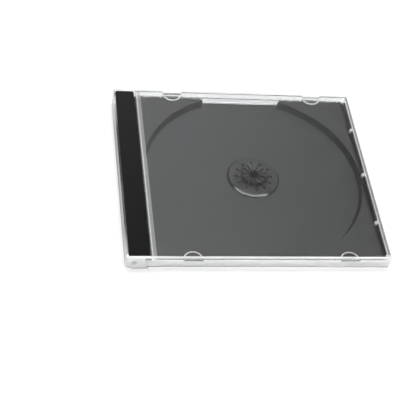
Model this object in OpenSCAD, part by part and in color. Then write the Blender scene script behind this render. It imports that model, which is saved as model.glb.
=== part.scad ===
// Hinged disc case: a clear lid and a clear base around a dark disc tray.
// X runs from the hinge side to the opening side, Y along the hinge, Z up.
// The case lies closed, and the origin is the middle of its underside.

/* [Case] */
// Length from the hinge side to the opening side
case_l = 142; // [140:1:150]
// Width along the hinge
case_w = 124.5; // [123:0.5:132]
// Thickness when closed
case_h = 10.4; // [10:0.1:12]
// Thickness of the flat lid and base sheets
sheet_t = 1.2; // [1:0.1:1.3]
// Thickness of the upright walls of lid and base
wall_t = 1.1; // [0.9:0.1:1.2]
// Gap between the lid walls and the base walls inside them
side_gap = 0.2; // [0.15:0.05:0.3]

/* [Hinge] */
// Distance of the hinge pins from the hinge side
pivot_in = 4; // [3.8:0.1:4.4]
// Diameter of the hinge pins
pin_d = 2.8; // [2.4:0.1:3.2]
// Radial play of a hinge pin in its hole
pin_play = 0.05; // [0.03:0.01:0.08]
// Gap between the lid edge and whatever it swings past
swing_gap = 0.28; // [0.2:0.02:0.4]

/* [Lid] */
// Gap between the bar of the tray and the hinge side edge of the lid
edge_gap = 0.6; // [0.5:0.05:0.8]
// Setback of the stiffening rib from that edge
rib_in = 0.6; // [0.4:0.1:0.8]
// Width of the stiffening rib
rib_w = 1.8; // [1.5:0.1:2.4]
// Depth of the stiffening rib below the lid sheet
rib_h = 1.3; // [1:0.1:1.5]
// Distance of each booklet tab from the middle of the lid sheet
tab_dx = 42.4; // [36:0.2:46]
// Width of a booklet tab
tab_w = 10.8; // [9:0.2:12]
// Reach of a booklet tab from the side wall
tab_reach = 5; // [4.6:0.1:5.6]
// Thickness of a booklet tab
tab_t = 0.9; // [0.7:0.1:1]
// Room for the booklet between the lid sheet and the tabs
booklet_h = 1.3; // [1.1:0.1:1.4]

/* [Base] */
// Height of the foot that runs under the lid walls
foot_h = 2.4; // [2:0.1:2.6]
// Drop of that foot at the opening end, where a fingertip lifts the lid
grip_drop = 0.7; // [0.5:0.1:0.9]
// Start of the finger relief, from the middle of the case
grip_x = 28.5; // [20:0.5:40]
// Distance of the outer tray catches from the middle catch
catch_dy = 35.5; // [30:0.5:42]
// Width of a tray catch
catch_w = 2.6; // [2:0.1:3]

/* [Tray] */
// Width of the raised bar beside the hinge, from the outside of the case
bar_w = 12; // [11.5:0.1:13]
// Thickness of the tray sheet
tray_t = 1.2; // [1:0.1:1.3]
// Room for the inlay card under the tray
card_h = 0.7; // [0.5:0.1:0.8]
// Distance of the disc centre from the middle of the case
disc_x = 5; // [4.6:0.1:5]
// Diameter of the disc recess at its floor
recess_d = 122; // [121.6:0.1:122.4]
// Widening of the recess from its floor up to the deck, on the radius
recess_draft = 1.4; // [1:0.1:1.5]
// Length of the finger cut-outs in the long sides
cutout_l = 45.4; // [42:0.2:50]
// Radius of the tray corners beside the finger cut-outs
cutout_r = 2.5; // [1.5:0.1:3]
// Width of the low ledge at the opening side
ledge_w = 2.1; // [1.8:0.1:2.3]
// Drop of that ledge below the corners of the tray
ledge_drop = 1.1; // [0.9:0.1:1.3]
// Height of the rim on that ledge, which the middle catches reach through
rim_h = 2.8; // [2.4:0.1:3]

/* [Hub] */
// Diameter of the raised platform that carries the disc
platform_d = 29.6; // [28:0.2:32]
// Height of the platform above the recess floor
platform_h = 1.5; // [1.2:0.1:1.6]
// Diameter of the hub that enters the disc
hub_d = 14.8; // [14.6:0.02:14.9]
// Height of the hub above the platform
hub_h = 2.7; // [2.5:0.1:2.8]
// Number of spring fingers in the hub
fingers = 12; // [10:2:12]
// Width of the slots between the fingers
slot_w = 0.8; // [0.6:0.1:0.8]
// Diameter of the opening in the middle of the hub
eye_d = 6; // [5:0.2:7]

/* [Hidden] */
$fn = 96;
eps = 0.01;
over = 1;
clear_col = [0.86, 0.9, 0.92, 0.35];
tray_col = [0.05, 0.05, 0.055];

half_l = case_l / 2;
half_w = case_w / 2;

// The hinge axis lies at half height, so that the open lid lies flat
pivot_x = -half_l + pivot_in;
pivot_z = case_h / 2;
arm_r = pivot_in;
pin_r = pin_d / 2;

// Heights of the lid
lid_under = case_h - sheet_t;
tab_top = lid_under - booklet_h;
tab_under = tab_top - tab_t;
lid_in = half_w - wall_t;
foot_gap = 0.2;
lid_wall_z = foot_h + foot_gap;
lid_x = -half_l + bar_w + edge_gap;
rib_x = lid_x + rib_in;
lid_mid = (lid_x + half_l) / 2;
tab_x = [lid_mid - tab_dx, lid_mid + tab_dx];
arm_x = lid_x - 1.6;
corner_r = 1;

// Heights and faces of the base
base_out = lid_in - side_gap;
base_in = base_out - wall_t;
foot_x = arm_x + 0.9;
side_top = tab_under - 0.6;
spine_t = 0.9;
spine_top = case_h - 0.4;
front_in = half_l - wall_t;
front_top = lid_under - 0.1;
ear_x = pivot_x + pivot_in + 1.8;

// Heights and faces of the tray
tray_gap = 0.3;
tray_half = base_in - tray_gap;
deck_z = tab_under - 0.3;
floor_under = sheet_t + card_h;
floor_z = floor_under + tray_t;
ledge_z = deck_z - ledge_drop;
ledge_in = front_in - tray_gap - ledge_w;
rim_t = 0.7;
tray_x = front_in - tray_gap;
bar_x = -half_l + bar_w;
bar_left = -half_l + spine_t + 0.15;
bar_top = case_h - 0.2;
bar_under = bar_top - tray_t;
ear_top = bar_under - 0.2;
recess_r = recess_d / 2;
recess_slope = recess_draft / (deck_z - floor_z);
edge_sweep = norm([lid_x - pivot_x, lid_under - pivot_z]);
rib_sweep = norm([rib_x - pivot_x, lid_under - rib_h - pivot_z]);
sweep_r = min(edge_sweep, rib_sweep) - swing_gap;
catch_y = [-catch_dy, 0, catch_dy];

// Heights and radii of the hub
platform_r = platform_d / 2;
platform_z = floor_z + platform_h;
hub_r = hub_d / 2;
hub_top = platform_z + hub_h;
finger_t = 1.1;
rim_w = 0.85;
crown_w = 0.5;
bead = 0.08;
slot_r = hub_r + 2.8;
eye_r = eye_d / 2;

// Detent pips of the lid, in dimples of the base
pip_x = grip_x + 3;
pip_z = (lid_wall_z + side_top) / 2;
pip_r = 1.2;
pip_h = 0.12;

// Copies its children to both long sides
module both_sides() {
    for (s = [0, 1])
        mirror([0, s, 0])
            children();
}

// Box given by its two opposite corners
module box(low, high) {
    translate(low)
        cube(high - low);
}

// Flat outline in X and Z, stood up between two Y values
module side_plate(y0, y1) {
    translate([0, y1, 0])
        rotate([90, 0, 0])
            linear_extrude(height = y1 - y0)
                children();
}

// Rectangle with round corners, given by its two opposite corners
module round_rect(low, high, r) {
    size = high - low;
    translate(low + [r, 0])
        square([size.x - 2 * r, size.y]);
    translate(low + [0, r])
        square([size.x, size.y - 2 * r]);
    for (x = [low.x + r, high.x - r], y = [low.y + r, high.y - r])
        translate([x, y])
            circle(r = r);
}

// Tongue with a round end, running along +X from the origin
module tongue(reach, w) {
    r = min(w / 2, reach);
    intersection() {
        translate([-eps, -w / 2])
            square([reach + eps, w]);
        union() {
            translate([-eps, -w / 2])
                square([reach - r + eps, w]);
            translate([reach - r, 0])
                circle(r = w / 2);
        }
    }
}

// Round rod along Y
module rod(x, z, r, y0, y1) {
    translate([x, y1, z])
        rotate([90, 0, 0])
            cylinder(r = r, h = y1 - y0);
}

// Outline of a lid side wall with its hinge arm
module lid_side() {
    difference() {
        union() {
            translate([pivot_x, pivot_z])
                circle(r = arm_r);
            translate([-half_l, pivot_z])
                square([pivot_in + 1, case_h - pivot_z]);
            translate([pivot_x, pivot_z - arm_r])
                square([arm_x - pivot_x, case_h - pivot_z + arm_r]);
            translate([arm_x - eps, lid_wall_z])
                square([half_l - arm_x + eps, case_h - lid_wall_z]);
        }
        // round upper corner above the hinge
        translate([-half_l, case_h - corner_r])
            difference() {
                translate([-over, 0])
                    square([corner_r + over, corner_r + over]);
                translate([corner_r, 0])
                    circle(r = corner_r);
                translate([corner_r, -over])
                    square([over, over]);
            }
    }
}

// Half-moon tab that carries the booklet: full round edge, foot in the side wall
module booklet_tab(x) {
    r = tab_w / 2;
    e = tab_t / 2;
    translate([x, lid_in - tab_reach + r, tab_under])
        intersection() {
            rotate_extrude() {
                square([r - e, tab_t]);
                translate([r - e, e])
                    circle(r = e);
            }
            box([-r, -r - over, -over], [r, tab_reach - r + wall_t / 2, case_h]);
        }
}

// Clear cover: sheet, side walls with hinge arms and pins, rib and tabs
module lid() {
    color(clear_col)
        union() {
            difference() {
                union() {
                    box([lid_x, -half_w, lid_under], [half_l, half_w, case_h]);
                    both_sides()
                        side_plate(lid_in, half_w)
                            lid_side();
                }
                // window in the side wall above each tab
                both_sides()
                    for (x = tab_x)
                        box([x - tab_w / 2, lid_in - over, tab_top],
                            [x + tab_w / 2, half_w + over, lid_under]);
            }
            box([rib_x, -lid_in - eps, lid_under - rib_h],
                [rib_x + rib_w, lid_in + eps, lid_under + eps]);
            both_sides() {
                for (x = tab_x)
                    booklet_tab(x);
                rod(pivot_x, pivot_z, pin_r, base_in - 0.15, lid_in + eps);
                rod(pip_x, pip_z, pip_r, lid_in - pip_h, lid_in + eps);
            }
        }
}

// Outline of a base side wall with the ear that carries a hinge pin
module base_side() {
    translate([-half_l, 0])
        square([2 * half_l, side_top]);
    translate([-half_l, 0])
        square([ear_x + half_l, ear_top]);
}

// Catch with a round tip that holds an edge of the tray down
module tray_catch(x, z, reach, h, turn) {
    translate([x, 0, z])
        rotate([0, 0, turn])
            linear_extrude(height = h)
                tongue(reach, catch_w);
}

// Clear bottom: sheet, spine, opening side wall, side walls and foot
module base() {
    color(clear_col)
        difference() {
            union() {
                box([-half_l, -base_out, 0], [half_l, base_out, sheet_t]);
                box([-half_l, -base_out, 0], [-half_l + spine_t, base_out, spine_top]);
                box([front_in, -base_out, 0], [half_l, base_out, front_top]);
                both_sides() {
                    side_plate(base_in, base_out)
                        base_side();
                    box([foot_x, base_out - eps, 0], [grip_x, half_w, foot_h]);
                    box([grip_x - eps, base_out - eps, 0],
                        [half_l, half_w, foot_h - grip_drop]);
                }
                for (y = catch_y)
                    translate([0, y, 0]) {
                        tray_catch(front_in, ledge_z + 0.1, 1.9, 1.6, 180);
                        tray_catch(-half_l + spine_t, 3.2, 1, 1.2, 0);
                    }
            }
            both_sides() {
                rod(pivot_x, pivot_z, pin_r + pin_play, base_in - over, base_out + over);
                rod(pip_x, pip_z, pip_r + 0.2, base_out - 0.3, base_out + over);
            }
        }
}

// Plan of the tray floor and corners, pulled in by d
module tray_plan(d) {
    round_rect([bar_x - tray_t + d, -tray_half + d], [tray_x - d, tray_half - d], 1.5 - d);
}

// Plan of the finger cut-outs, grown by d, with rounded ends at the long sides
module cutout_plan(d) {
    x0 = cutout_l / 2;
    square([2 * (x0 + d), case_w], center = true);
    for (sx = [-1, 1], sy = [-1, 1])
        scale([sx, sy])
            translate([x0 + cutout_r, tray_half - cutout_r])
                difference() {
                    translate([-cutout_r, 0])
                        square([cutout_r, cutout_r + over]);
                    circle(r = cutout_r - d);
                    translate([-eps, -over])
                        square([over, cutout_r - d + over]);
                }
}

// Deep part of the tray above z, grown by d: the drafted recess and the cut-outs
module recess_void(d, z) {
    h = case_h - z;
    r = recess_r + d + (z - floor_z) * recess_slope;
    translate([disc_x, 0, z])
        cylinder(r1 = r, r2 = r + h * recess_slope, h = h);
    translate([disc_x, 0, z])
        linear_extrude(height = h)
            cutout_plan(d);
}

// Room under the tray sheet, between its skirts, up to the height z
module under_sheet(z) {
    translate([0, 0, sheet_t - over])
        linear_extrude(height = z - sheet_t + over)
            tray_plan(0.9);
}

// Tray sheet without its bar and hub
module tray_pan() {
    difference() {
        translate([0, 0, sheet_t])
            linear_extrude(height = deck_z - sheet_t)
                tray_plan(0);
        recess_void(0, floor_z);
        // low ledge at the opening side
        box([ledge_in, -half_w, ledge_z], [half_l, half_w, case_h]);
        // room for the inlay card
        under_sheet(floor_under);
        // hollow corners, open below
        difference() {
            under_sheet(ledge_z - tray_t);
            recess_void(tray_t, 0);
        }
        difference() {
            under_sheet(deck_z - tray_t);
            recess_void(tray_t, 0);
            box([ledge_in - tray_t, -half_w, 0], [half_l, half_w, case_h]);
        }
        // hollow under the hub platform
        translate([disc_x, 0, 0])
            cylinder(r = platform_r - tray_t / 2, h = case_h);
    }
}

// Rim on the ledge at the opening side, open where the catches reach in
module tray_rim() {
    y1 = tray_half - 1.5;
    difference() {
        box([tray_x - rim_t, -y1, ledge_z - tray_t], [tray_x, y1, ledge_z + rim_h]);
        for (y = catch_y)
            box([tray_x - rim_t - over, y - catch_w / 2 - 0.3, ledge_z],
                [tray_x + over, y + catch_w / 2 + 0.3, case_h]);
    }
}

// Cross-section of the bar, cut back to the swing of the lid edge
module bar_section(d) {
    intersection() {
        translate([bar_left + d, sheet_t])
            square([bar_x - bar_left - 2 * d, bar_top - sheet_t - d]);
        translate([pivot_x, pivot_z])
            circle(r = sweep_r - d);
    }
}

// Raised hollow bar beside the hinge
module tray_bar() {
    end_y = base_in - tray_gap;
    rib_y = [for (i = [-2:2]) i * end_y / 2.5];
    difference() {
        intersection() {
            side_plate(-base_out, base_out)
                bar_section(0);
            translate([0, 0, sheet_t])
                linear_extrude(height = case_h)
                    round_rect([bar_left, -base_out], [bar_x, base_out], 1.2);
        }
        // hollow between the end walls, open below
        difference() {
            side_plate(-end_y + tray_t, end_y - tray_t) {
                bar_section(tray_t);
                translate([bar_left + tray_t, 0])
                    square([bar_x - bar_left - 2 * tray_t, pivot_z]);
            }
            for (y = rib_y)
                box([bar_left, y - 0.5, sheet_t + card_h], [bar_x, y + 0.5, case_h]);
        }
        // ends stay above the hinge ears
        both_sides()
            box([-half_l, end_y, 0], [bar_x + over, half_w, bar_under]);
        // notches for the catches of the spine
        for (y = catch_y)
            box([-half_l, y - catch_w / 2 - 0.3, 2.9],
                [bar_left + tray_t + eps, y + catch_w / 2 + 0.3, 4.7]);
    }
}

// Half section of the hub: platform, sprung wall with a bead, and dished top
module hub_section() {
    t = finger_t;
    polygon([
        [platform_r, floor_under],
        [platform_r, platform_z - rim_w],
        [platform_r - rim_w, platform_z],
        [hub_r + 1.7, platform_z],
        [hub_r + 1.4, platform_z - 0.3],
        [hub_r, platform_z - 0.3],
        [hub_r, hub_top - 0.95],
        [hub_r + bead, hub_top - 0.75],
        [hub_r + bead, hub_top - crown_w],
        [hub_r + bead - crown_w, hub_top],
        [hub_r - 1.2, hub_top],
        [eye_r, hub_top - 0.8],
        [eye_r, hub_top - 0.8 - t],
        [hub_r - 1.6, hub_top - t],
        [hub_r - t, hub_top - t - 0.4],
        [hub_r - t, platform_z - t - 0.2],
        [platform_r - t, platform_z - t - 0.2],
        [platform_r - t, floor_under]
    ]);
}

// Sprung hub: the turned shell cut into fingers by radial slots with round ends
module hub() {
    difference() {
        rotate_extrude()
            hub_section();
        for (i = [0:fingers - 1])
            rotate([0, 0, i * 360 / fingers]) {
                box([0, -slot_w / 2, 0], [slot_r, slot_w / 2, case_h]);
                translate([slot_r, 0, 0])
                    cylinder(r = slot_w / 2 + 0.3, h = case_h);
            }
    }
}

// Dark tray: bar, deck with the disc recess, ledge and hub in one piece
module tray() {
    color(tray_col)
        union() {
            tray_pan();
            tray_rim();
            tray_bar();
            translate([disc_x, 0, 0])
                hub();
        }
}

base();
tray();
lid();
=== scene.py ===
"""Closed clear disc case on a white sweep, under soft studio light.

All lengths are in metres. Places on the case are counted from its CAD box.
"""
from math import radians

import bpy
from mathutils import Matrix, Vector


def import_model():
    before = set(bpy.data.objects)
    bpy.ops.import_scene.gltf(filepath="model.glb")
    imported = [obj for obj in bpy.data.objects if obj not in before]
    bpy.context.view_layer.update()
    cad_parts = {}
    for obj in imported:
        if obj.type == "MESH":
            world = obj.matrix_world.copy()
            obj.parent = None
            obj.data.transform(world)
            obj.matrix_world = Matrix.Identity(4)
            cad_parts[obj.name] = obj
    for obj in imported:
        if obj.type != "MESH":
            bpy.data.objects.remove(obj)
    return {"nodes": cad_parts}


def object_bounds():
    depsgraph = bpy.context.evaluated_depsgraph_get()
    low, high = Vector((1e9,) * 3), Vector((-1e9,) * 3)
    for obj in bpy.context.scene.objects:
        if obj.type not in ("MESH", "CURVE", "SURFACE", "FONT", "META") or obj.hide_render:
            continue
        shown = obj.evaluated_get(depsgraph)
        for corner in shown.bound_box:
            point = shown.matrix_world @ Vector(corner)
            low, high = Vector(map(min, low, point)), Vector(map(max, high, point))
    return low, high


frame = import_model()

CAD_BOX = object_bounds()
scene = bpy.context.scene
NODES = frame["nodes"]
MM = 0.001
LEFT, RIGHT = CAD_BOX[0][0], CAD_BOX[1][0]
BACK, TOP = CAD_BOX[1][1], CAD_BOX[1][2]

# Width over which one look turns into another
FADE = 0.1 * MM

# Tray: ends of bar and ledge, upright rim, hub platform and the start of its sloped edge
BAR_X, LEDGE_X = LEFT + 13 * MM, RIGHT - 4.1 * MM
RIM_X, RIM_Z = (RIGHT - 2.5 * MM, RIGHT - 1 * MM), (5.75 * MM, 8.25 * MM)
HUB_X, HUB_R, SLOPE_R = 5 * MM, 14.9 * MM, 13.9 * MM
PAN_TONE = (0.056, 0.056, 0.0565, 1)
HUB_TONE = (0.043, 0.043, 0.0435, 1)
# Painted shade: the ledge strip along the rim is darker in its colour, where the rim shades it
LEDGE_PAINTED_SHADE = (0.03, 0.03, 0.0304, 1)
# Painted light: the upright rim is lighter in its colour, where little light reaches it
RIM_PAINTED_LIGHT = (0.14, 0.14, 0.141, 1)
BAR_TONE = (0.003, 0.003, 0.0032, 1)

# Base: places painted milky white as painted light: near side wall and opening side catches
WALL_Y = -BACK + 2.55 * MM
CATCH_X = (RIGHT - 3.2 * MM, RIGHT - 1.2 * MM)

# Lid: places painted milky white as painted light: rib with a painted highlight on its first
# part, tabs, upper long edges and hinge pins
RIB_X, RIB_Z = (LEFT + 13.35 * MM, LEFT + 15.6 * MM), (TOP - 2.6 * MM, TOP - 1.15 * MM)
RIB_STEP, RIB_REST = (LEFT + 13.9 * MM, LEFT + 14.05 * MM), 0.46
TAB_MID, TAB_DX, TAB_Y = 6.3 * MM, 42.4 * MM, BACK - 0.7 * MM
TAB_R, TAB_Z, TAB_IN = (4.7 * MM, 5.5 * MM), (TOP - 3.5 * MM, TOP - 2.45 * MM), -0.5 * MM
EDGE_IN, EDGE_Z, EDGE_PAINTED_LIGHT = -0.3 * MM, TOP - 1 * MM, 0.5
PIN_X, PIN_Z, PIN_R = LEFT + 4 * MM, TOP / 2, 1.45 * MM
PIN_Y, PIN_PAINTED_LIGHT = BACK - 1.15 * MM, 0.9

CLEAR_TONE = (0.985, 0.992, 0.995, 1)
# Milky white tone: painted light on the clear plastic
PAINTED_LIGHT_TONE = (0.95, 0.95, 0.95, 1)
POLYSTYRENE_IOR = 1.59

# Floor: painted shadow seen through the case, tones near and far, and how much it is lifted to
# white
SHADE_LEFT, SHADE_RIGHT = LEFT - 2 * MM, RIGHT - 8 * MM
SHADE_Y, SHADE_SOFT = BACK - 7.25 * MM, 20 * MM
SHADE_MID, SHADE_DEEP = (-9 * MM, -1 * MM), 0.14
FRONT_Y = (-90 * MM, -64 * MM)
FLOOR_PAINTED_SHADOW = (0.06, 0.06, 0.06, 1)
GREY_FLOOR = (0.55, 0.55, 0.55, 1)
PALE_FLOOR = (0.86, 0.86, 0.86, 1)
WHITE = (1, 1, 1, 1)
NEAR_LIFT, FAR_LIFT, LIFT_R = 0.3, 1.0, (0.25, 1.0)
THROUGH = 0.25


# Node helpers

def new_material(name):
    """A material with nodes, its tree, its Principled shader and object coordinates."""
    mat = bpy.data.materials.new(name)
    mat.use_nodes = True
    tree = mat.node_tree
    shader = tree.nodes["Principled BSDF"]
    coord = tree.nodes.new("ShaderNodeTexCoord")
    return mat, tree, shader, coord.outputs["Object"]


def scaled(tree, vector, scale):
    """The vector stretched by a scale for each axis."""
    node = tree.nodes.new("ShaderNodeMapping")
    node.inputs["Scale"].default_value = scale
    tree.links.new(vector, node.inputs["Vector"])
    return node.outputs["Vector"]


def noise(tree, vector, scale, detail=2.0, rough=0.5):
    """Noise value at the given scale per metre."""
    node = tree.nodes.new("ShaderNodeTexNoise")
    node.inputs["Scale"].default_value = scale
    node.inputs["Detail"].default_value = detail
    node.inputs["Roughness"].default_value = rough
    tree.links.new(vector, node.inputs["Vector"])
    return node.outputs["Fac"]


def remap(tree, value, a, b, c, d):
    """The value taken from the range a..b to the range c..d."""
    node = tree.nodes.new("ShaderNodeMapRange")
    for key, number in (("From Min", a), ("From Max", b), ("To Min", c), ("To Max", d)):
        node.inputs[key].default_value = number
    tree.links.new(value, node.inputs["Value"])
    return node.outputs["Result"]


def maths(tree, kind, *values):
    """Values joined by one operation."""
    node = tree.nodes.new("ShaderNodeMath")
    node.operation = kind
    for socket, value in zip(node.inputs, values):
        if isinstance(value, (int, float)):
            socket.default_value = value
        else:
            tree.links.new(value, socket)
    return node.outputs["Value"]


def most(tree, *values):
    """The largest of several values."""
    top = values[0]
    for value in values[1:]:
        top = maths(tree, "MAXIMUM", top, value)
    return top


def product(tree, a, b):
    """Two values multiplied."""
    return maths(tree, "MULTIPLY", a, b)


def blend(tree, factor, a, b, kind="RGBA"):
    """Value or colour a turning into b as the factor rises."""
    node = tree.nodes.new("ShaderNodeMix")
    node.data_type = kind
    tree.links.new(factor, node.inputs["Factor"])
    sockets = [i for i in node.inputs if i.enabled and i.name in ("A", "B")]
    for socket, value in zip(sockets, (a, b)):
        if isinstance(value, (int, float, tuple)):
            socket.default_value = value
        else:
            tree.links.new(value, socket)
    return next(o for o in node.outputs if o.enabled)


def above(tree, value, edge, high=1.0):
    """0 below the edge, rising to the high value just above it."""
    return remap(tree, value, edge, edge + FADE, 0.0, high)


def below(tree, value, edge, high=1.0):
    """The high value below the edge, falling to 0 just above it."""
    return remap(tree, value, edge, edge + FADE, high, 0.0)


def band(tree, value, ends):
    """1 where the value lies between its two ends, 0 elsewhere."""
    return product(tree, above(tree, value, ends[0] - FADE), below(tree, value, ends[1]))


def offset(tree, value, middle):
    """The value counted from a middle value."""
    return maths(tree, "SUBTRACT", value, middle)


def size_of(tree, value):
    """The value without its sign."""
    return maths(tree, "ABSOLUTE", value)


def length(tree, dx, dy):
    """Length of the flat vector with these two parts."""
    square = maths(tree, "ADD", product(tree, dx, dx), product(tree, dy, dy))
    return maths(tree, "POWER", square, 0.5)


def axes(tree, obj):
    """X, Y and Z of the object coordinates."""
    split = tree.nodes.new("ShaderNodeSeparateXYZ")
    tree.links.new(obj, split.inputs["Vector"])
    return split.outputs["X"], split.outputs["Y"], split.outputs["Z"]


def bump(tree, height, distance, strength):
    """A bump normal from a height."""
    node = tree.nodes.new("ShaderNodeBump")
    node.inputs["Distance"].default_value = distance
    node.inputs["Strength"].default_value = strength
    tree.links.new(height, node.inputs["Height"])
    return node.outputs["Normal"]


# Materials

def base_painted_light(tree, x, y, z):
    """Where the base is painted milky white as painted light: its near side wall with the foot,
    and its catches.
    """
    return most(tree, below(tree, y, WALL_Y - FADE), band(tree, x, CATCH_X))


def lid_painted_light(tree, x, y, z):
    """Where the lid is painted milky white as painted light: its rib, brightest on its first
    part as a painted highlight, upper long edges, tab edges and hinge pins.
    """
    rib = product(tree, band(tree, x, RIB_X), band(tree, z, RIB_Z))
    rib = product(tree, rib, remap(tree, x, *RIB_STEP, 1.0, RIB_REST))
    dx = offset(tree, size_of(tree, offset(tree, x, TAB_MID)), TAB_DX)
    dy = offset(tree, size_of(tree, y), TAB_Y)
    tab = product(tree, band(tree, length(tree, dx, dy), TAB_R), band(tree, z, TAB_Z))
    tab = product(tree, tab, below(tree, dy, TAB_IN))
    edge = product(tree, above(tree, dy, EDGE_IN - FADE, EDGE_PAINTED_LIGHT),
                   above(tree, z, EDGE_Z - FADE))
    away = length(tree, offset(tree, x, PIN_X), offset(tree, z, PIN_Z))
    pin = product(tree, below(tree, away, PIN_R, PIN_PAINTED_LIGHT),
                  below(tree, size_of(tree, y), PIN_Y - FADE))
    return most(tree, edge, pin, rib, tab)


def clear_plastic(name, painted_light_mask):
    """Clear moulded polystyrene: faint flow waves and fine handling scratches.

    The mask argument gives the places painted milky white, as painted light.
    """
    mat, tree, shader, obj = new_material(name)
    shader.inputs["IOR"].default_value = POLYSTYRENE_IOR
    scratches = noise(tree, scaled(tree, obj, (60, 1400, 400)), 1.0, 3, 0.6)
    rough = remap(tree, scratches, 0.62, 0.78, 0.012, 0.062)
    tree.links.new(rough, shader.inputs["Roughness"])
    waves = noise(tree, scaled(tree, obj, (1, 1.6, 1)), 22, 1.5)
    tree.links.new(bump(tree, waves, 0.35 * MM, 0.25), shader.inputs["Normal"])
    streaks = noise(tree, scaled(tree, obj, (18, 40, 260)), 1.0, 2, 0.5)
    depth = remap(tree, streaks, 0.3, 0.7, 0.84, 0.98)
    # Painted light: milky white laid where light brightens the clear plastic
    cloud = product(tree, painted_light_mask(tree, *axes(tree, obj)), depth)
    tree.links.new(maths(tree, "SUBTRACT", 1.0, cloud), shader.inputs["Transmission Weight"])
    tree.links.new(blend(tree, cloud, CLEAR_TONE, PAINTED_LIGHT_TONE), shader.inputs["Base Color"])
    return mat


def dark_plastic(name):
    """Dark polystyrene, satin with a fine grain; smooth on the bar and the hub's sloped edge.
    The ledge strip by the rim is darkened with painted shade, and the upright rim lightened with
    painted light.
    """
    mat, tree, shader, obj = new_material(name)
    x, y, z = axes(tree, obj)
    bar = below(tree, x, BAR_X - FADE)
    away = length(tree, offset(tree, x, HUB_X), y)
    hub = below(tree, away, HUB_R)
    rim = product(tree, band(tree, x, RIM_X), band(tree, z, RIM_Z))
    tone = blend(tree, hub, PAN_TONE, HUB_TONE)
    # Painted shade on the ledge strip and painted light on the upright rim
    tone = blend(tree, above(tree, x, LEDGE_X), tone, blend(tree, rim, LEDGE_PAINTED_SHADE, RIM_PAINTED_LIGHT))
    tone = blend(tree, bar, tone, BAR_TONE)
    tree.links.new(tone, shader.inputs["Base Color"])
    cloud = noise(tree, obj, 28, 3, 0.55)
    satin = remap(tree, cloud, 0.3, 0.7, 0.44, 0.5)
    smooth = remap(tree, cloud, 0.3, 0.7, 0.06, 0.09)
    glossy = most(tree, bar, product(tree, hub, above(tree, away, SLOPE_R)))
    tree.links.new(blend(tree, glossy, satin, smooth, "FLOAT"), shader.inputs["Roughness"])
    grain = noise(tree, obj, 5200, 2, 0.5)
    tree.links.new(bump(tree, grain, 0.004 * MM, 0.3), shader.inputs["Normal"])
    return mat


def soften(obj, width):
    """Small moulded radius on the sharp edges of a node, with even normals on its flats."""
    weld = obj.modifiers.new("weld", "WELD")
    weld.merge_threshold = 0.002 * MM
    bevel = obj.modifiers.new("edge", "BEVEL")
    bevel.width = width
    bevel.segments = 2
    bevel.limit_method = "ANGLE"
    bevel.angle_limit = radians(40)
    bevel.harden_normals = True
    even = obj.modifiers.new("even", "WEIGHTED_NORMAL")
    even.keep_sharp = True


def dress(node, mat, radius):
    """Gives a node its material in every slot, and its small radii."""
    for slot in NODES[node].material_slots:
        slot.material = mat
    soften(NODES[node], radius)


dress("lid", clear_plastic("clear_lid", lid_painted_light), 0.16 * MM)
dress("base", clear_plastic("clear_base", base_painted_light), 0.16 * MM)
dress("tray", dark_plastic("dark_tray"), 0.18 * MM)


# Stage

def floor_shade(tree, x, y):
    """Painted shadow: 1 where the floor is open, and little or nothing deep under the tray, a
    little more towards the front.
    """
    dx = offset(tree, x, SHADE_RIGHT)
    dy = offset(tree, size_of(tree, y), SHADE_Y)
    edge = remap(tree, most(tree, dx, dy), -SHADE_SOFT, 0.0, 0.0, 1.0)
    left = below(tree, x, SHADE_LEFT - FADE)
    deep = remap(tree, y, *SHADE_MID, SHADE_DEEP, 0.0)
    return blend(tree, most(tree, edge, left), deep, 1.0, "FLOAT")


def sweep():
    """White floor, kept white for the camera; under the tray its colour and its glow for what
    shines or shows through carry painted shadow.
    """
    bpy.ops.mesh.primitive_plane_add(size=6, location=(0, 0, -0.12 * MM))
    floor = bpy.context.object
    floor.name = "floor"
    mat, tree, shader, obj = new_material("floor")
    shader.inputs["Roughness"].default_value = 1.0
    shader.inputs["Specular IOR Level"].default_value = 0.0
    x, y, z = axes(tree, obj)
    shade = floor_shade(tree, x, y)
    open_floor = most(tree, shade, below(tree, x, LEFT - FADE))
    # Painted shadow: the floor's colour is dark under the tray
    tone = blend(tree, open_floor, FLOOR_PAINTED_SHADOW, GREY_FLOOR)
    tone = blend(tree, remap(tree, y, *FRONT_Y, 1.0, 0.0), tone, PALE_FLOOR)
    tree.links.new(tone, shader.inputs["Base Color"])
    path = tree.nodes.new("ShaderNodeLightPath")
    lift = remap(tree, length(tree, x, y), *LIFT_R, NEAR_LIFT, FAR_LIFT)
    mirrored = most(tree, path.outputs["Is Transmission Ray"], path.outputs["Is Glossy Ray"])
    seen = most(tree, product(tree, path.outputs["Is Camera Ray"], lift),
                product(tree, mirrored, product(tree, shade, THROUGH)))
    glow = tree.nodes.new("ShaderNodeEmission")
    glow.inputs["Color"].default_value = WHITE
    tree.links.new(seen, glow.inputs["Strength"])
    both = tree.nodes.new("ShaderNodeAddShader")
    tree.links.new(shader.outputs["BSDF"], both.inputs[0])
    tree.links.new(glow.outputs["Emission"], both.inputs[1])
    tree.links.new(both.outputs["Shader"], tree.nodes["Material Output"].inputs["Surface"])
    floor.data.materials.append(mat)


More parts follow.
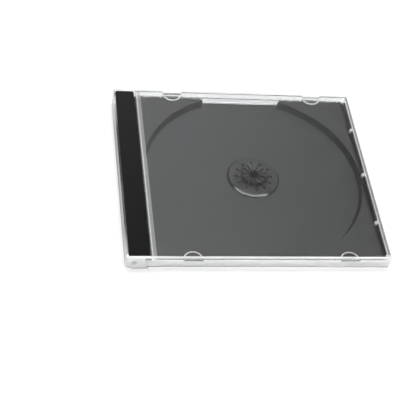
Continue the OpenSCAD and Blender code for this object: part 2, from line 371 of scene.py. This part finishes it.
def world():
    """Soft pale room: bright low down, dim overhead, paler to the back left."""
    w = bpy.data.worlds.new("studio")
    scene.world = w
    w.use_nodes = True
    tree = w.node_tree
    back = tree.nodes["Background"]
    coord = tree.nodes.new("ShaderNodeTexCoord")
    x, y, z = axes(tree, coord.outputs["Generated"])
    low = remap(tree, z, 0.05, 0.5, 0.95, 0.0)
    slant = maths(tree, "ADD", product(tree, y, 2.5), product(tree, x, -1.45))
    glow = remap(tree, slant, 1.084, 1.684, 0.03, 0.48)
    tree.links.new(most(tree, low, glow), back.inputs["Strength"])
    back.inputs["Color"].default_value = WHITE


def lamp(name, place, aim, size, power, roll=0.0):
    """Soft rectangular lamp, aimed at a point and rolled by some degrees."""
    data = bpy.data.lights.new(name, "AREA")
    data.shape = "RECTANGLE"
    data.size, data.size_y = size
    data.energy = power
    obj = bpy.data.objects.new(name, data)
    obj.location = place
    ahead = Vector(aim) - Vector(place)
    obj.rotation_euler = ahead.to_track_quat("-Z", "Y").to_euler()
    obj.rotation_euler.rotate_axis("Z", radians(roll))
    scene.collection.objects.link(obj)


sweep()
world()
lamp("top", place=(0, 0.3, 1.3), aim=(0, 0, 0), size=(1, 0.9), power=23)
lamp("front", place=(0.42, -0.71, 0.67), aim=(0.42, 0, 0), size=(1.45, 0.16), power=7)
lamp("left", place=(-0.59, -0.37, 0.62), aim=(0, 0, 0), size=(0.72, 0.12), power=2.5, roll=13)


# Camera

def camera():
    """Camera fitted to the corners of the case in the photograph."""
    right = Vector((0.983528, -0.108623, 0.14448))
    down = Vector((0.012306, -0.757209, -0.653057))
    ahead = Vector((0.180338, 0.644078, -0.743399))
    place = Vector((-0.134362, -0.399729, 0.445535))
    turn = Matrix((right, -down, -ahead)).transposed()
    data = bpy.data.cameras.new("camera")
    data.sensor_width = 36
    data.lens = 97.421
    data.clip_start = 0.01
    obj = bpy.data.objects.new("camera", data)
    obj.matrix_world = Matrix.Translation(place) @ turn.to_4x4()
    scene.collection.objects.link(obj)
    scene.camera = obj


camera()
scene.view_settings.view_transform = "Standard"
